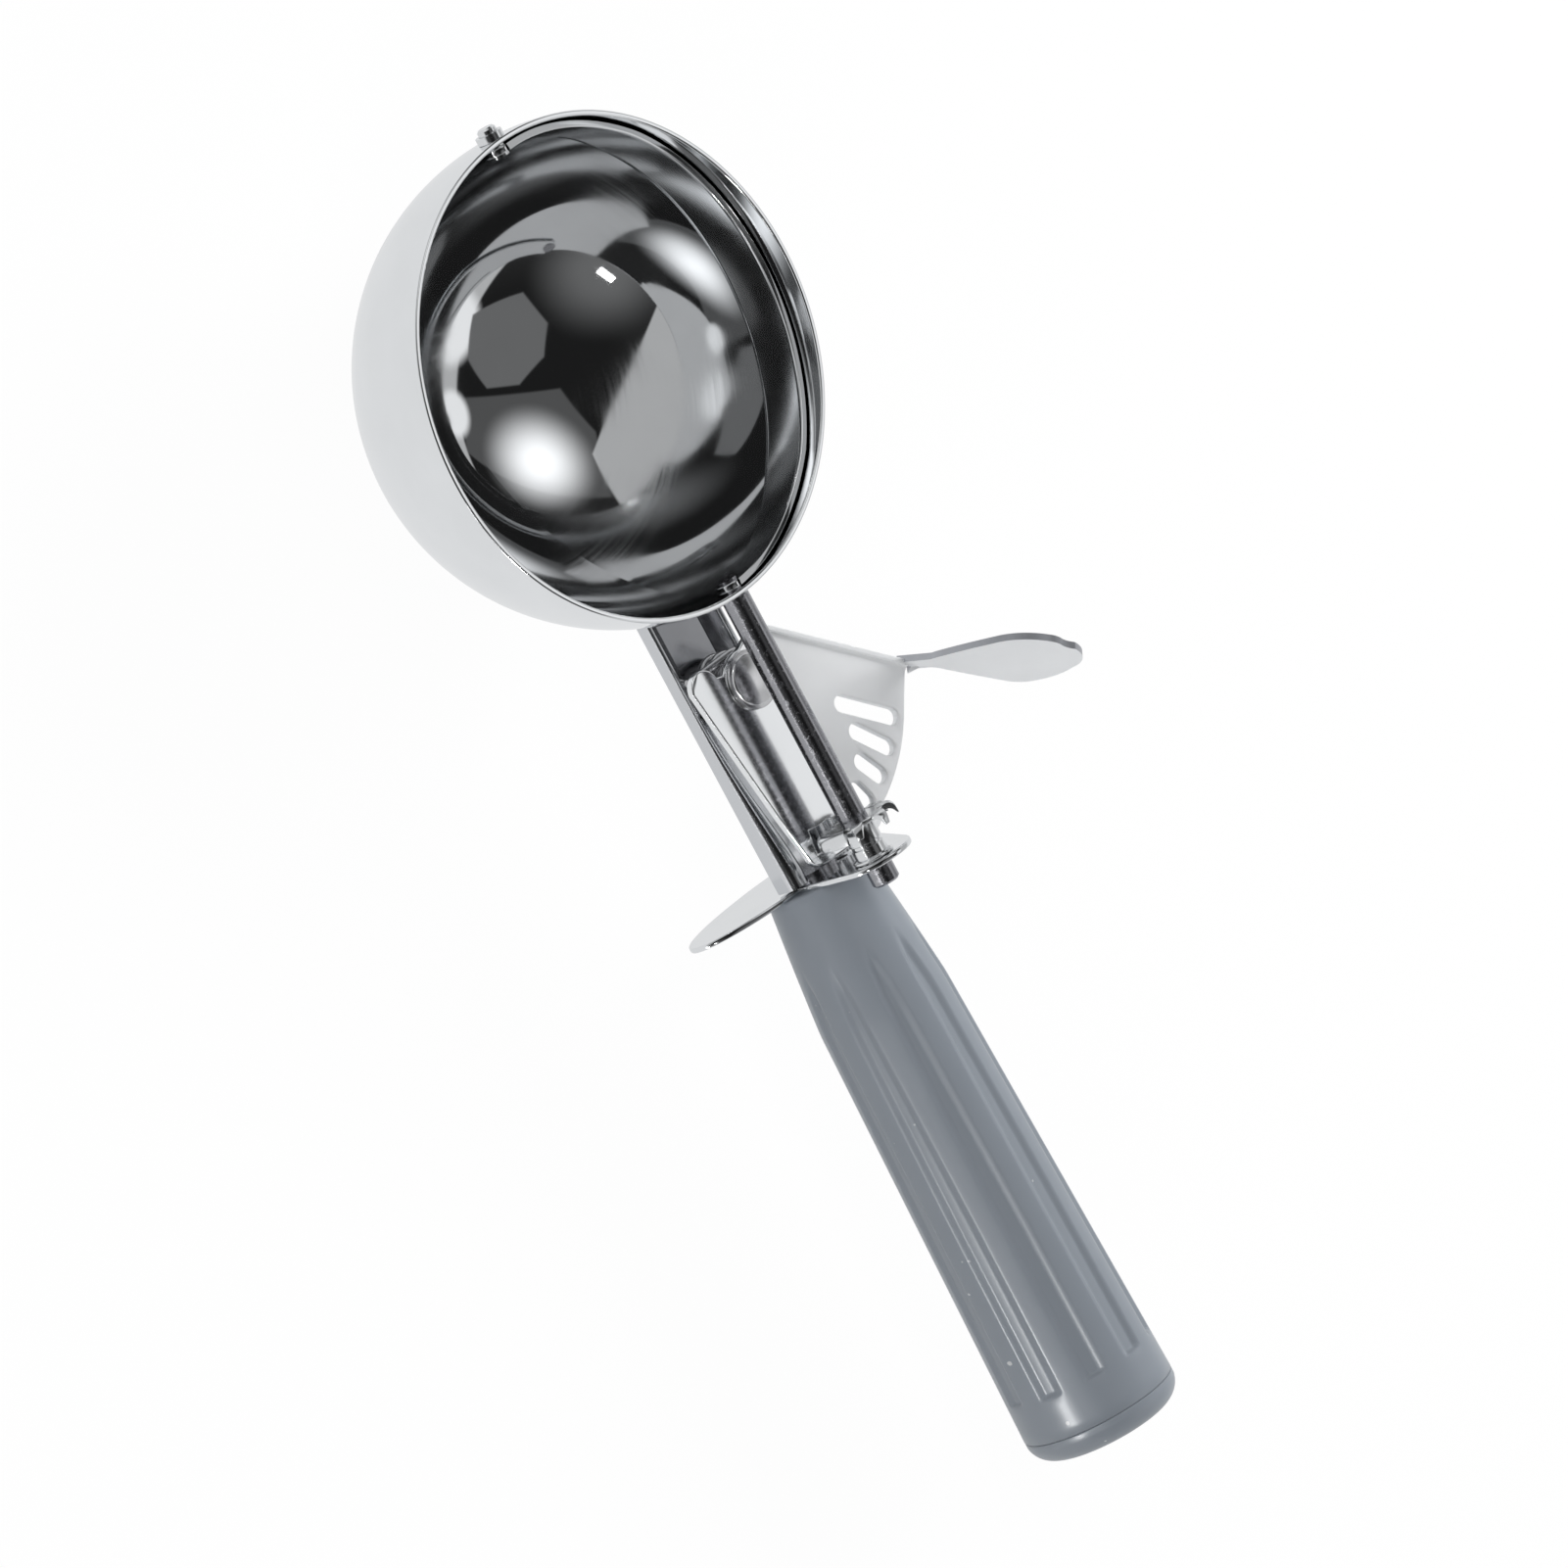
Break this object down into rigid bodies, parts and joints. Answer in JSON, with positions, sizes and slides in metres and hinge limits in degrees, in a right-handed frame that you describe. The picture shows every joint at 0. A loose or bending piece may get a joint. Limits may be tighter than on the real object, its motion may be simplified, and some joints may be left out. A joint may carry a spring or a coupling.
{
  "type": "ice cream scoop",
  "caption": "Ice cream scoop: hemispherical steel bowl with a sweeping scraper, thumb lever, finger guard and fluted grey grip.",
  "frame": {"origin": "centre of the handle's flat butt", "axes": "+X out of the butt along the handle's axis, +Y towards the thumb pad, +Z out of the bowl's opening"},
  "size_m": [0.2022, 0.0729, 0.0557],
  "materials": {
    "polished_steel": "mirror",
    "blade_steel": "satin",
    "shaft_steel": "polished",
    "sheet_steel": "polished",
    "lever_steel": "polished",
    "rivet_steel": "satin",
    "spring_steel": "satin",
    "grip_plastic": "semi-gloss",
    "cap_plastic": "semi-gloss"
  },
  "bodies": {
    "frame": {"bowl": "polished_steel", "bowl_saddle": "polished_steel", "front_bushing": "polished_steel", "guard_bushing": "sheet_steel", "shank_channel": "sheet_steel", "finger_guard": "sheet_steel", "pivot_rivet": "rivet_steel", "pivot_washer": "rivet_steel", "lower_washer": "rivet_steel", "pivot_post": "rivet_steel", "return_spring": "spring_steel", "handle_tang": "shaft_steel", "tang_washer": "rivet_steel", "tang_nut": "rivet_steel", "handle_grip": "grip_plastic", "handle_end_cap": "cap_plastic"},
    "lever": {"thumb_lever": "lever_steel"},
    "scraper": {"scraper_blade": "blade_steel", "scraper_pin": "shaft_steel", "scraper_shaft": "shaft_steel", "pinion": "sheet_steel"}
  },
  "joints": [
    {"name": "lever_pivot", "type": "hinge", "parent": "frame", "child": "lever", "pos_m": [-0.1173, 0, 0.007], "axis": [0, 0, -1], "range_deg": [0, 36.7], "stiffness_Nm_per_rad": 0.3, "springref_deg": -20.05},
    {"name": "scraper_turn", "type": "hinge", "parent": "frame", "child": "scraper", "pos_m": [-0.1648, 0, 0.013], "axis": [-1, 0, 0], "range_deg": [0, 162]}
  ],
  "couplings": [
    {"joint": "scraper_turn", "follows": "lever_pivot", "ratio": 4.4118}
  ]
}
